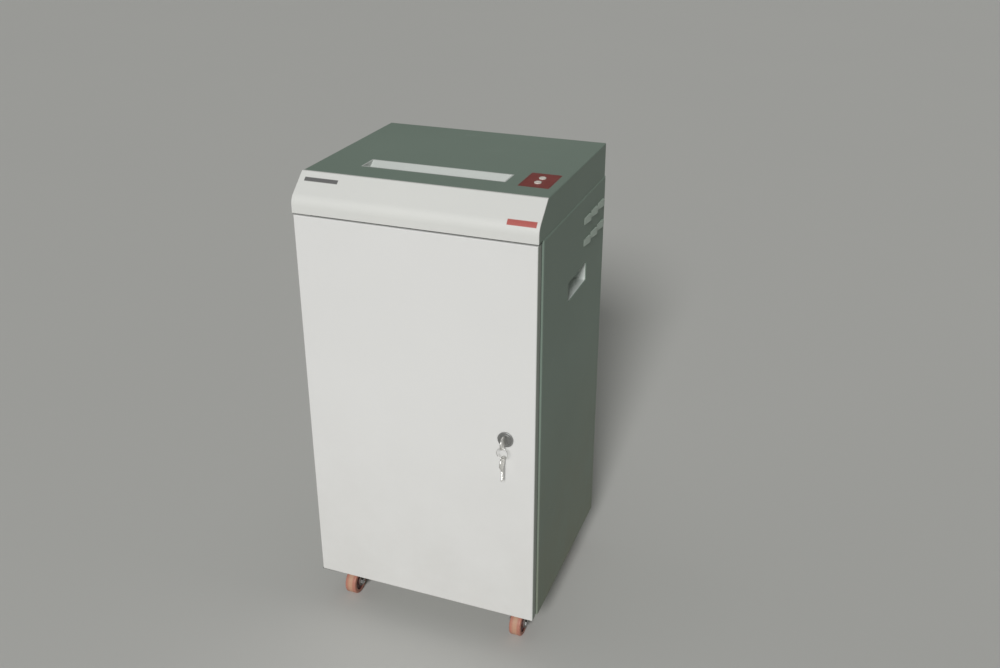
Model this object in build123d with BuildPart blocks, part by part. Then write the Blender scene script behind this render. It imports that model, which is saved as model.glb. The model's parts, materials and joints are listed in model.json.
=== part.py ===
from build123d import *
from math import acos, atan2, cos, pi, radians, sin, tan
import os

# Cabinet paper shredder on four castors. Millimetres, +Z up, X to the right seen from the
# front, the front faces -Y. The origin is on the floor under the middle of the footprint.

# ---- driving dimensions -------------------------------------------------------------------
cabinet_width = 430.0
cabinet_depth = 375.0          # door face to rear panel
total_height = 858.0           # floor to the flat top
head_height = 60.5
sheet = 1.5                    # cabinet sheet steel
bend = 3.0                     # outer radius of a folded edge
flange = 22.0                  # width of the folded flanges of a side panel
key_reach = 26.0               # how far the key stands out of the door

door_thickness = 18.0
door_inset = 2.25              # door edge back from the side of the cabinet
door_back_gap = 3.0            # door to cabinet front
door_top_gap = 3.5
door_sag_gap = 0.6             # door above the bottom of the cabinet
door_corner = 3.0
liner_sheet = 1.2
hinge_inset = 8.75             # hinge axis from the edge of the door
hinge_pin_radius = 3.0
hinge_pin_length = 14.0
bush_radius = 6.0
hinge_leaf = 2.0
hinge_leg = 26.0
hinge_reach = 24.0             # leaf past the hinge axis
hinge_leg_gap = 8.0            # hinge axis to the leg, clear of the turning door
hinge_top_gap = 1.0            # door top to the upper leaf
leaf_edge = 1.0                # leaf back from the side of the cabinet
leaf_front = 2.0               # leaf back from the door face
running_fit = 0.05             # radial clearance of a shaft in its bearing
loose_fit = 0.3

head_inset = 1.5               # head narrower than the cabinet on each side
head_wall = 2.0
fascia_rise = 24.0             # upright strip at the bottom of the fascia
fascia_setback = 42.0
fascia_bend = 25.0
fascia_wall = 2.5

throat_length = 252.0          # opening in the top
throat_depth = 38.0
throat_x = -4.5
throat_front = 99.0            # front edge of the opening from the door face
throat_drop = 46.0
insert_wall = 2.5
paper_width = 240.0
slot_gap = 8.0

plate_width = 52.0             # red control plate
plate_depth = 74.0
plate_thickness = 1.6
plate_edge = 41.5              # middle of the plate from the side of the cabinet
plate_y = 123.5                # from the door face
button_radius = 6.0
button_rise = 1.6
button_spacing = 24.0
button_skirt = 1.6
board_drop = 16.0              # control board under the top

machine_space = 191.5          # machine shelf to the bottom of the head
shelf_sheet = 2.0
chute_drop = 46.0
chute_flare = 10.0
chute_wall = 1.5

shaft_radius = 10.0
cutter_height = 108.0          # shafts above the shelf
disc_overlap = 7.0             # between the two rows of discs
disc_thickness = 3.6
disc_pitch = 8.0
disc_teeth = 6
disc_twist = 7.0               # degrees from one disc to the next
tooth_depth = 3.0
frame_plate = 6.0
frame_margin = 6.0             # frame plate past the comb bars
frame_above = 54.0             # frame plates above the shafts
frame_corner = 6.0
frame_end = 3.0                # frame plate past the last disc
shaft_end = 2.0                # shaft past its bearing
bearing_radius = 15.0
bearing_width = 8.0
tie_radius = 5.0
tie_side = 50.0                # tie rods from the middle of the slot
tie_rises = (40.0, -80.0)      # tie rods above the shafts
comb_finger = 3.4
comb_bar = 9.0
comb_gap = 1.5
comb_tip_gap = 1.2             # finger to the shaft
comb_finger_height = 14.0

gear_module = 2.0
gear_width = 10.0
gear_gap = 2.0                 # between two gears side by side
sync_gap = 3.0                 # left frame plate to the first gears
gear_backlash = 0.35
sync_teeth = 20
drive_teeth = 60
idler_teeth = 30
pinion_teeth = 15
idler_angle = 25.0             # below the horizontal, behind the rear shaft
stud_radius = 5.0

motor_radius = 48.0
motor_length = 142.0
motor_wall = 4.0
motor_shaft_radius = 6.0
rotor_radius = 34.0
fan_radius = 38.0
fan_width = 9.0
fan_blades = 9
fan_blade = 2.0

cup_length = 108.0
cup_height = 36.0
cup_depth = 30.0
cup_wall = 2.0
cup_lip = 8.0
cup_corner = 4.0
cup_y = 211.0                  # middle of the cup from the door face
cup_drop = 143.0               # middle of the cup under the head
louvre_length = 30.0
louvre_height = 13.0
louvre_rise = 4.0
louvre_pitch = 43.0
louvre_count = 3
louvre_rows = 2
louvre_row_pitch = 40.0
louvre_y = 303.0               # middle of the louvres from the door face
louvre_drop = 64.5             # middle of the louvres under the head
vent_wall = 1.2
vent_lip = 8.0
vent_corner = 4.0
hood_start = 0.5               # front end of a hood above the sheet
hood_crest = 6.0               # level part of a hood before its open end

pan_sheet = 2.0
pan_upstand = 20.0
bin_side_gap = 5.0             # bin rim to the flanges that it passes
bin_front_gap = 6.0            # cabinet front to the bin rim
bin_rear_gap = 30.0
bin_headroom = 20.0            # bin rim to the chute
bin_taper = 12.0
bin_wall = 3.0
bin_rim = 4.0
grip_length = 110.0
grip_height = 30.0
grip_corner = 10.0
grip_drop = 45.0               # middle of the grip under the rim
bin_corner = 24.0              # outer corner at the rim
bin_foot_corner = 20.0

lock_edge = 54.1               # lock from the side of the cabinet
lock_drop = 160.5              # lock under the machine shelf
lock_face_radius = 14.0
lock_face = 3.0
lock_body_radius = 9.5
plug_radius = 6.0
cam_gap = 2.0                  # cabinet flange to the cam
cam_thickness = 2.0
cam_width = 16.0
cam_length = 54.0
blade_thickness = 2.2
blade_height = 8.0
blade_length = 20.0
bow_radius = 11.5
bow_hole = 2.6                 # radius of the ring hole
bow_hole_forward = 2.5         # ring hole from the middle of the bow
bow_hole_drop = 6.7
spare_hole_wall = 2.5
ring_radius = 9.8
ring_wire = 0.8
spare_length = 23.0
plug_recess = 0.5              # plug back from the face of the lock
cam_nut = 3.0

castor_side = 45.0             # swivel axis from the side of the cabinet
castor_setback = 24.5          # castor plate back from the front and rear of the cabinet
castor_trail = 23.0
wheel_radius = 25.0
wheel_width = 22.0
wheel_shoulder = 4.0
wheel_crown_gap = 13.0         # wheel to the fork's top plate
axle_radius = 4.0
castor_plate = 3.0
plate_side = 51.0
castor_corner = 5.0
race_radius = 17.0
race_height = 6.7
fork_sheet = 2.5
fork_half = 15.0
fork_gap = 0.6
kingpin_radius = 4.0
kingpin_head = 2.5
castor_screw_radius = 4.5
castor_screw_head = 3.5
fork_knee = 4.0                # front edge of a fork leg above the axle
fork_eye = 9.0
axle_end = 2.0

# ---- places worked out from the sizes -----------------------------------------------------
front_y = -(cabinet_depth - key_reach) / 2
rear_y = front_y + cabinet_depth
half_width = cabinet_width / 2
base_z = 2 * (wheel_radius + castor_plate) + wheel_crown_gap + race_height + loose_fit
head_z = total_height - head_height
cabinet_front = front_y + door_thickness + door_back_gap
panel_rear = rear_y - sheet
web_inside = half_width - sheet
door_half = half_width - door_inset
door_bottom = base_z + door_sag_gap
door_top = head_z - door_top_gap
door_back = front_y + door_thickness
hinge_x = -door_half + hinge_inset
hinge_y = front_y + door_thickness / 2
head_half = half_width - head_inset
lock_x = half_width - lock_edge
lock_length = door_thickness + door_back_gap + sheet + cam_gap   # door face to the cam
plate_x = half_width - plate_edge
cup_z = head_z - cup_drop
louvre_middle_y = front_y + louvre_y
louvre_middle_z = head_z - louvre_drop
shelf_z = head_z - machine_space
lock_z = shelf_z - lock_drop
shaft_gap = gear_module * sync_teeth
disc_radius = (shaft_gap + disc_overlap) / 2
disc_count = int(paper_width / disc_pitch) + 1
frame_half_depth = shaft_gap / 2 + disc_radius + comb_gap + comb_bar + frame_margin
bin_half_width = half_width - flange - bin_side_gap
bin_front = door_thickness + door_back_gap + bin_front_gap
bin_depth = cabinet_depth - bin_front - bin_rear_gap
bin_bottom = base_z + pan_sheet
bin_height = shelf_z - chute_drop - bin_headroom - bin_bottom

slot_y = front_y + throat_front + insert_wall + slot_gap / 2
shelf_top = shelf_z + shelf_sheet
cutter_z = shelf_top + cutter_height
front_shaft_y = slot_y - shaft_gap / 2
rear_shaft_y = slot_y + shaft_gap / 2
frame_half = disc_count * disc_pitch / 2 + frame_end
left_plate_x = throat_x - frame_half - frame_plate
right_plate_x = throat_x + frame_half
sync_x = left_plate_x - sync_gap - gear_width
drive_x = sync_x - gear_gap - gear_width
gear_end_x = drive_x - gear_gap


def pitch_radius(teeth):
    return gear_module * teeth / 2


idler_reach = pitch_radius(drive_teeth) + pitch_radius(idler_teeth)
motor_reach = pitch_radius(idler_teeth) + pitch_radius(pinion_teeth)
idler_y = rear_shaft_y + idler_reach * cos(radians(idler_angle))
idler_z = cutter_z - idler_reach * sin(radians(idler_angle))
motor_y = idler_y + motor_reach
motor_z = idler_z
motor_front_x = left_plate_x + frame_plate
motor_end_x = motor_front_x + motor_length

os.makedirs("parts", exist_ok=True)


def save(part, name):
    part.label = name
    export_step(part, f"parts/{name}.step")


def across(x):
    """Plane square to X at x: sketch X is world Y, sketch Y is world Z."""
    return Plane(origin=(x, 0, 0), x_dir=(0, 1, 0), z_dir=(1, 0, 0))


def facing(y):
    """Plane square to Y at y, looking back: sketch X is world X, sketch Y is world Z."""
    return Plane(origin=(0, y, 0), x_dir=(1, 0, 0), z_dir=(0, -1, 0))


# ---- cabinet shell ------------------------------------------------------------------------
with BuildPart() as base_pan:
    with BuildSketch(Plane.XY.offset(base_z)):
        with Locations((0, (cabinet_front + sheet + panel_rear - sheet) / 2)):
            Rectangle(2 * web_inside, panel_rear - cabinet_front - 2 * sheet)
    extrude(amount=pan_upstand)
    with BuildSketch(Plane.XY.offset(base_z + pan_sheet)):
        with Locations((0, (cabinet_front + panel_rear - sheet - pan_sheet) / 2)):
            Rectangle(2 * (web_inside - pan_sheet), panel_rear - sheet - pan_sheet - cabinet_front)
    extrude(amount=pan_upstand, mode=Mode.SUBTRACT)
save(base_pan.part, "base_pan")


def side_panel(side):
    with BuildPart() as panel:
        with BuildSketch(Plane.XY.offset(base_z)):
            with Locations((side * (half_width - flange / 2), (cabinet_front + panel_rear) / 2)):
                Rectangle(flange, panel_rear - cabinet_front)
        extrude(amount=head_z - base_z)
        outer_edges = panel.faces().sort_by(Axis.X)[-1 if side > 0 else 0].edges()
        fillet(outer_edges.filter_by(Axis.Z).sort_by(Axis.Y)[0], bend)
        top_edges = panel.faces().sort_by(Axis.X)[-1 if side > 0 else 0].edges()
        fillet(top_edges.filter_by(Axis.Y).sort_by(Axis.Z)[-1], bend)
        with BuildSketch(Plane.XY.offset(base_z)):
            with Locations((side * (web_inside - flange / 2), (cabinet_front + panel_rear) / 2)):
                Rectangle(flange, panel_rear - cabinet_front - 2 * sheet)
        extrude(amount=head_z - sheet - base_z, mode=Mode.SUBTRACT)
        with BuildSketch(across(side * half_width)):
            with Locations((front_y + cup_y, cup_z)):
                RectangleRounded(cup_length, cup_height, cup_corner)
        extrude(amount=2 * sheet, both=True, mode=Mode.SUBTRACT)
        with BuildSketch(across(side * half_width)):
            with Locations((louvre_middle_y, louvre_middle_z)):
                with GridLocations(louvre_pitch, louvre_row_pitch, louvre_count, louvre_rows):
                    Rectangle(louvre_length, louvre_height)
        extrude(amount=2 * sheet, both=True, mode=Mode.SUBTRACT)
    return panel.part


save(side_panel(-1), "left_side_panel")
save(side_panel(1), "right_side_panel")


def hood_outline(side, middle, skin, reach):
    """Hood in plan, rising from the sheet to its open rear end; skin thins it from the outside."""
    front = middle - louvre_length / 2 + loose_fit + skin
    rear = middle + louvre_length / 2 - loose_fit + reach
    base = side * (web_inside - vent_wall - reach)
    return [
        (base, front),
        (side * (half_width + hood_start - skin), front),
        (side * (half_width + louvre_rise - skin), rear - reach - hood_crest),
        (side * (half_width + louvre_rise - skin), rear),
        (base, rear),
    ]


def vent_insert(side):
    """Moulded plate inside the sheet, with a hood standing out of every louvre opening."""
    rows = [louvre_middle_z + place * louvre_row_pitch / 2 for place in (-1, 1)]
    middles = [louvre_middle_y + place * louvre_pitch for place in (-1, 0, 1)]
    with BuildPart() as insert:
        with BuildSketch(across(side * web_inside)):
            with Locations((louvre_middle_y, louvre_middle_z)):
                RectangleRounded(louvre_pitch * (louvre_count - 1) + louvre_length + 2 * vent_lip,
                                 louvre_row_pitch + louvre_height + 2 * vent_lip, vent_corner)
        extrude(amount=-side * vent_wall)
        for row_z in rows:
            for middle in middles:
                with BuildSketch(Plane.XY.offset(row_z - louvre_height / 2 + loose_fit)):
                    Polygon(*hood_outline(side, middle, 0, 0), align=None)
                extrude(amount=louvre_height - 2 * loose_fit)
                with BuildSketch(Plane.XY.offset(row_z - louvre_height / 2 + loose_fit + vent_wall)):
                    Polygon(*hood_outline(side, middle, vent_wall, 1), align=None)
                extrude(amount=louvre_height - 2 * loose_fit - 2 * vent_wall, mode=Mode.SUBTRACT)
    return insert.part


with BuildPart() as vent_inserts:
    add(vent_insert(-1))
    add(vent_insert(1))
save(vent_inserts.part, "vent_inserts")

inlet_x = 120.0
inlet_z = shelf_z + 46.0        # middle of the inlet above the shelf
inlet_width = 27.0
inlet_height = 20.0
vent_length = 70.0
vent_gap = 5.0
vent_spread = 20.0             # between the two columns of vents
vent_pitch = 14.0
vent_rows = 6
vent_rise = 109.0              # middle of the vents above the shelf
with BuildPart() as rear_panel:
    with BuildSketch(facing(rear_y)):
        with Locations((0, (base_z + head_z) / 2)):
            Rectangle(cabinet_width, head_z - base_z)
        with Locations((inlet_x, inlet_z)):
            Rectangle(inlet_width, inlet_height, mode=Mode.SUBTRACT)
        with Locations((0, shelf_z + vent_rise)):
            with GridLocations(vent_length + vent_spread, vent_pitch, 2, vent_rows):
                SlotOverall(vent_length, vent_gap, mode=Mode.SUBTRACT)
    extrude(amount=sheet)
save(rear_panel.part, "rear_panel")

cover_half = half_width - flange
cover_flange = 18.0
with BuildPart() as mechanism_cover:
    with BuildSketch(facing(cabinet_front + sheet)):
        with Locations((0, (shelf_z + head_z) / 2)):
            Rectangle(2 * cover_half, head_z - shelf_z)
    extrude(amount=sheet)
    with BuildSketch(facing(cabinet_front + sheet)):
        with Locations((0, head_z - sheet / 2)):
            Rectangle(2 * cover_half, sheet)
    extrude(amount=-cover_flange)
save(mechanism_cover.part, "mechanism_cover")

# ---- machine shelf and chute --------------------------------------------------------------
chute_side = 6.0               # chute past the paper at each end
chute_front = 3.0              # chute inside the sweep of the discs
chute_length = paper_width + 2 * chute_side
chute_width = 2 * (shaft_gap / 2 + disc_radius - chute_front)
with BuildPart() as machine_shelf:
    with BuildSketch(Plane.XY.offset(shelf_z)):
        with Locations((0, (cabinet_front + sheet + panel_rear - sheet) / 2)):
            Rectangle(2 * web_inside, panel_rear - cabinet_front - 2 * sheet)
        with Locations((throat_x, slot_y)):
            Rectangle(chute_length, chute_width, mode=Mode.SUBTRACT)
    extrude(amount=shelf_sheet)
    for side in (-1, 1):
        with BuildSketch(Plane.XY.offset(shelf_z)):
            with Locations((side * (web_inside - sheet / 2), (cabinet_front + panel_rear) / 2)):
                Rectangle(sheet, panel_rear - cabinet_front - 2 * sheet)
        extrude(amount=-cover_flange)
save(machine_shelf.part, "machine_shelf")

with BuildPart() as drop_chute:
    for grow, mode in ((chute_wall, Mode.ADD), (0, Mode.SUBTRACT)):
        with BuildSketch(Plane.XY.offset(shelf_z)):
            with Locations((throat_x, slot_y)):
                Rectangle(chute_length + 2 * grow, chute_width + 2 * grow)
        with BuildSketch(Plane.XY.offset(shelf_z - chute_drop)):
            with Locations((throat_x, slot_y)):
                flare = 2 * (grow + chute_flare)
                Rectangle(chute_length + flare, chute_width + flare)
        loft(mode=mode)
save(drop_chute.part, "drop_chute")

# ---- side handles -------------------------------------------------------------------------


def handle_cup(side):
    """Cup set into the panel from inside, with a lip against the inside of the sheet."""
    with BuildPart() as cup:
        with BuildSketch(across(side * web_inside)):
            with Locations((front_y + cup_y, cup_z)):
                RectangleRounded(cup_length + 2 * cup_lip, cup_height + 2 * cup_lip, 2 * cup_corner)
        extrude(amount=-side * cup_wall)
        with BuildSketch(across(side * web_inside)):
            with Locations((front_y + cup_y, cup_z)):
                RectangleRounded(cup_length + 2 * cup_wall, cup_height + 2 * cup_wall,
                                 cup_corner + cup_wall)
        extrude(amount=-side * (cup_depth + cup_wall))
        with BuildSketch(across(side * web_inside)):
            with Locations((front_y + cup_y, cup_z)):
                RectangleRounded(cup_length, cup_height, cup_corner)
        extrude(amount=-side * cup_depth, mode=Mode.SUBTRACT)
    return cup.part


save(handle_cup(-1), "left_handle_cup")
save(handle_cup(1), "right_handle_cup")

# ---- head ---------------------------------------------------------------------------------
slope_angle = atan2(head_height - fascia_rise, fascia_setback)


def slope_points(inset):
    """Front of the head in the Y-Z plane, moved inward: foot, bend and top of the slope."""
    lift = inset * tan((pi / 2 - slope_angle) / 2)
    slide = inset / sin(slope_angle)
    return [
        (front_y + inset, head_z),
        (front_y + inset, head_z + fascia_rise - lift),
        (front_y + fascia_setback + slide, total_height),
    ]


def head_section(inset, top_inset):
    """Closed outline of the head, its front moved in by inset, its top and rear by top_inset."""
    foot, corner, crest = slope_points(inset)
    crest = (crest[0] - top_inset / tan(slope_angle), total_height - top_inset)
    with BuildSketch(across(-head_half + top_inset)) as section:
        with BuildLine():
            front = FilletPolyline(foot, corner, crest, radius=fascia_bend - inset)
            Polyline(front @ 1, (rear_y - top_inset, total_height - top_inset),
                     (rear_y - top_inset, head_z), front @ 0)
        make_face()
    return section.sketch


with BuildPart() as fascia_panel:
    extrude(head_section(0, 0), amount=2 * head_half)
    extrude(head_section(fascia_wall, 0), amount=2 * head_half, mode=Mode.SUBTRACT)
save(fascia_panel.part, "fascia_panel")

with BuildPart() as head_cover:
    extrude(head_section(fascia_wall, 0), amount=2 * head_half)
    fillet(head_cover.edges().filter_by(Axis.Y).group_by(Axis.Z)[-1], bend - 1)
    extrude(head_section(fascia_wall + head_wall, head_wall), amount=2 * (head_half - head_wall),
            mode=Mode.SUBTRACT)
    with BuildSketch(Plane.XY.offset(total_height)):
        with Locations((throat_x, front_y + throat_front + throat_depth / 2)):
            Rectangle(throat_length + 2 * insert_wall, throat_depth + 2 * insert_wall)
        with Locations((plate_x, front_y + plate_y)):
            RectangleRounded(plate_width, plate_depth, head_wall)
    extrude(amount=-2 * head_wall, mode=Mode.SUBTRACT)
save(head_cover.part, "head_cover")

throat_middle = front_y + throat_front + throat_depth / 2
ramp_drop = 20.0               # slot entry under the top
slot_end_gap = 2.0
insert_bottom = total_height - throat_drop
with BuildPart() as throat_insert:
    with BuildSketch(Plane.XY.offset(total_height)):
        with Locations((throat_x, throat_middle)):
            Rectangle(throat_length + 2 * insert_wall, throat_depth + 2 * insert_wall)
    extrude(amount=-throat_drop)
    with BuildSketch(across(throat_x - throat_length / 2)):
        front_edge = throat_middle - throat_depth / 2
        Polygon((front_edge, total_height), (front_edge + insert_wall, total_height - ramp_drop),
                (front_edge + insert_wall + slot_gap, total_height - ramp_drop),
                (front_edge + throat_depth, total_height), align=None)
    extrude(amount=throat_length, mode=Mode.SUBTRACT)
    with BuildSketch(Plane.XY.offset(total_height - ramp_drop)):
        with Locations((throat_x, slot_y)):
            Rectangle(paper_width + 2 * slot_end_gap, slot_gap)
    extrude(amount=-throat_drop, mode=Mode.SUBTRACT)
    with BuildSketch(across(throat_x - throat_length)):
        rear_edge = throat_middle + throat_depth / 2 + insert_wall
        Polygon((slot_y + slot_gap / 2 + insert_wall, insert_bottom - 1),
                (slot_y + slot_gap / 2 + insert_wall, total_height - ramp_drop - insert_wall),
                (rear_edge - insert_wall, total_height - head_wall - insert_wall),
                (rear_edge + 1, total_height - head_wall - insert_wall),
                (rear_edge + 1, insert_bottom - 1), align=None)
    extrude(amount=2 * throat_length, mode=Mode.SUBTRACT)
save(throat_insert.part, "throat_insert")

guide_top = insert_bottom
guide_bottom = cutter_z + 22.0  # clear of the discs
guide_wall = 2.0
guide_gap = 5.0
with BuildPart() as paper_guides:
    for side in (-1, 1):
        with BuildSketch(across(throat_x - frame_half)):
            top_y = slot_y + side * slot_gap / 2
            low_y = slot_y + side * guide_gap / 2
            Polygon((top_y, guide_top), (top_y + side * guide_wall, guide_top),
                    (low_y + side * guide_wall, guide_bottom), (low_y, guide_bottom), align=None)
        extrude(amount=2 * frame_half)
save(paper_guides.part, "paper_guides")

# ---- controls -----------------------------------------------------------------------------
button_places = {"forward_button": button_spacing / 2, "reverse_button": -button_spacing / 2}
plate_middle = front_y + plate_y
board_z = total_height - board_drop
plate_corner = 2.0
post_inset = 4.0               # plate posts from the edge of the plate
post_radius = 2.5
with BuildPart() as control_plate:
    with BuildSketch(Plane.XY.offset(total_height - plate_thickness)):
        with Locations((plate_x, plate_middle)):
            RectangleRounded(plate_width, plate_depth, plate_corner)
        with Locations(*[(plate_x, plate_middle + place) for place in button_places.values()]):
            Circle(button_radius + loose_fit, mode=Mode.SUBTRACT)
    extrude(amount=plate_thickness)
    with BuildSketch(Plane.XY.offset(total_height - plate_thickness)):
        with Locations((plate_x, plate_middle)):
            with GridLocations(plate_width - 2 * post_inset, plate_depth - 2 * post_inset, 2, 2):
                Circle(post_radius)
    extrude(amount=plate_thickness - board_drop)
save(control_plate.part, "control_plate")

board_sheet = 1.6
board_edge = 1.5               # board back from the edge of the plate
switch_side = 10.0
switch_rise = 5.0
with BuildPart() as control_board:
    with BuildSketch(Plane.XY.offset(board_z)):
        with Locations((plate_x, plate_middle)):
            Rectangle(plate_width - 2 * board_edge, plate_depth - 2 * board_edge)
    extrude(amount=-board_sheet)
    with BuildSketch(Plane.XY.offset(board_z)):
        with Locations(*[(plate_x, plate_middle + place) for place in button_places.values()]):
            Rectangle(switch_side, switch_side)
    extrude(amount=switch_rise)
save(control_board.part, "control_board")

button_travel = 1.2
button_flange = 1.5            # skirt wider than the button
button_edge = 0.8
stem_radius = 2.5
for button_name, place in button_places.items():
    with BuildPart() as button:
        with BuildSketch(Plane.XY.offset(total_height + button_rise)):
            with Locations((plate_x, plate_middle + place)):
                Circle(button_radius)
        extrude(amount=-button_rise - plate_thickness - loose_fit - button_skirt)
        fillet(button.edges().sort_by(Axis.Z)[-1], button_edge)
        with BuildSketch(Plane.XY.offset(total_height - plate_thickness - loose_fit)):
            with Locations((plate_x, plate_middle + place)):
                Circle(button_radius + button_flange)
        extrude(amount=-button_skirt)
        with BuildSketch(Plane.XY.offset(board_z + switch_rise + button_travel + loose_fit)):
            with Locations((plate_x, plate_middle + place)):
                Circle(stem_radius)
        extrude(until=Until.NEXT)
    save(button.part, button_name)

# ---- cutting unit -------------------------------------------------------------------------
with BuildPart() as frame_plates:
    for plate_start in (left_plate_x, right_plate_x):
        with BuildSketch(across(plate_start)):
            with Locations((slot_y, (shelf_top + cutter_z + frame_above) / 2)):
                RectangleRounded(2 * frame_half_depth, cutter_z + frame_above - shelf_top,
                                 frame_corner)
            with Locations((front_shaft_y, cutter_z), (rear_shaft_y, cutter_z)):
                Circle(bearing_radius, mode=Mode.SUBTRACT)
        extrude(amount=frame_plate)
save(frame_plates.part, "frame_plates")

tie_places = [(slot_y + side * tie_side, cutter_z + rise) for side in (-1, 1) for rise in tie_rises]
with BuildPart() as tie_rods:
    for place in tie_places:
        with BuildSketch(across(throat_x - frame_half)):
            with Locations(place):
                Circle(tie_radius)
        extrude(amount=2 * frame_half)
save(tie_rods.part, "tie_rods")

with BuildPart() as shaft_bearings:
    for plate_start in (left_plate_x, right_plate_x):
        for shaft_y in (front_shaft_y, rear_shaft_y):
            with BuildSketch(across(plate_start - (bearing_width - frame_plate) / 2)):
                with Locations((shaft_y, cutter_z)):
                    Circle(bearing_radius)
                    Circle(shaft_radius + running_fit, mode=Mode.SUBTRACT)
            extrude(amount=bearing_width)
save(shaft_bearings.part, "shaft_bearings")

bearing_end = (bearing_width - frame_plate) / 2
shaft_right_x = right_plate_x + frame_plate + bearing_end + shaft_end


def cutter_shaft(shaft_y, left_x):
    with BuildPart() as shaft:
        with BuildSketch(across(left_x)):
            with Locations((shaft_y, cutter_z)):
                Circle(shaft_radius)
        extrude(amount=shaft_right_x - left_x)
        chamfer(shaft.edges().group_by(Axis.X)[-1], 1)
    return shaft.part


save(cutter_shaft(front_shaft_y, sync_x), "front_cutter_shaft")
save(cutter_shaft(rear_shaft_y, gear_end_x), "rear_cutter_shaft")


def cutter_discs(shaft_y, shift, twist):
    """Row of cutting discs with hooked notches, each turned a little from its neighbour."""
    with BuildPart() as discs:
        for number in range(disc_count):
            middle = throat_x + (number - (disc_count - 1) / 2) * disc_pitch + shift
            with BuildSketch(across(middle - disc_thickness / 2)):
                with Locations((shaft_y, cutter_z)):
                    Circle(disc_radius)
                    Circle(shaft_radius, mode=Mode.SUBTRACT)
                    with PolarLocations(disc_radius, disc_teeth, number * twist):
                        Polygon((1, -2), (-tooth_depth, 0), (1, 2 * tooth_depth), align=None,
                                mode=Mode.SUBTRACT)
            extrude(amount=disc_thickness)
    return discs.part


save(cutter_discs(front_shaft_y, -disc_pitch / 4, disc_twist), "front_cutter_discs")
save(cutter_discs(rear_shaft_y, disc_pitch / 4, -disc_twist), "rear_cutter_discs")


def stripper_comb(shaft_y, side, shift):
    """Fingers between the discs of one shaft, on the side away from the other shaft."""
    bar_inner = shaft_y + side * (disc_radius + comb_gap)
    with BuildPart() as comb:
        with BuildSketch(across(throat_x - frame_half)):
            with Locations((bar_inner + side * comb_bar / 2, cutter_z)):
                Rectangle(comb_bar, 2 * comb_bar)
        extrude(amount=2 * frame_half)
        for number in range(disc_count - 1):
            middle = throat_x + (number - disc_count / 2 + 1) * disc_pitch + shift
            finger_tip = shaft_y + side * (shaft_radius + comb_tip_gap)
            with BuildSketch(across(middle - comb_finger / 2)):
                with Locations(((finger_tip + bar_inner) / 2, cutter_z)):
                    Rectangle(abs(bar_inner - finger_tip), comb_finger_height)
            extrude(amount=comb_finger)
    return comb.part


save(stripper_comb(front_shaft_y, -1, -disc_pitch / 4), "front_stripper_comb")
save(stripper_comb(rear_shaft_y, 1, disc_pitch / 4), "rear_stripper_comb")

# ---- gears --------------------------------------------------------------------------------
pressure_angle = radians(20)
addendum = 0.8                 # in modules
dedendum = 1.05
hole_count = 6                 # lightening holes of the larger gears
hole_place = 0.62              # of the pitch radius
hole_size = 0.15


def involute(angle):
    return tan(angle) - angle


def gear_outline(teeth):
    """Involute spur gear with stub teeth, one tooth centred on the sketch X axis."""
    pitch = pitch_radius(teeth)
    base = pitch * cos(pressure_angle)
    tip = pitch + addendum * gear_module
    root = pitch - dedendum * gear_module
    half_tooth = (pi * gear_module / 2 - gear_backlash) / 2 / pitch
    steps = 4
    start = max(base, root)
    flank = []
    for step in range(steps + 1):
        radius = start + (tip - start) * step / steps
        turn = involute(pressure_angle) - involute(acos(min(1.0, base / radius))) + half_tooth
        flank.append((radius, turn))
    outline = []
    for tooth in range(teeth):
        centre = 2 * pi * tooth / teeth
        outline.append((root, centre - flank[0][1]))
        outline += [(radius, centre - turn) for radius, turn in flank]
        outline += [(radius, centre + turn) for radius, turn in reversed(flank)]
        outline.append((root, centre + flank[0][1]))
    return [(radius * cos(turn), radius * sin(turn)) for radius, turn in outline]


def gear(name, teeth, x, y, z, bore, turn):
    with BuildPart() as wheel:
        with BuildSketch(across(x)):
            with Locations(Location((y, z), turn)):
                Polygon(*gear_outline(teeth), align=None)
                Circle(bore, mode=Mode.SUBTRACT)
                if teeth >= idler_teeth:
                    with PolarLocations(pitch_radius(teeth) * hole_place, hole_count):
                        Circle(pitch_radius(teeth) * hole_size, mode=Mode.SUBTRACT)
        extrude(amount=gear_width)
    save(wheel.part, name)
    return wheel.part


def mesh_turn(teeth, mate_teeth, mate_turn, angle):
    """Turn in degrees that puts a gap of this gear opposite a tooth of its mate at angle."""
    tooth_phase = (angle - mate_turn) * mate_teeth / 360 % 1
    return angle + 180 - (0.5 - tooth_phase) * 360 / teeth


gear("front_sync_gear", sync_teeth, sync_x, front_shaft_y, cutter_z, shaft_radius, 0)
gear("rear_sync_gear", sync_teeth, sync_x, rear_shaft_y, cutter_z, shaft_radius,
     mesh_turn(sync_teeth, sync_teeth, 0, 0))
gear("drive_gear", drive_teeth, drive_x, rear_shaft_y, cutter_z, shaft_radius, 0)
idler_turn = mesh_turn(idler_teeth, drive_teeth, 0, -idler_angle)
gear("idler_gear", idler_teeth, drive_x, idler_y, idler_z, stud_radius + running_fit, idler_turn)
pinion_turn = mesh_turn(pinion_teeth, idler_teeth, idler_turn, 0)

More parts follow.
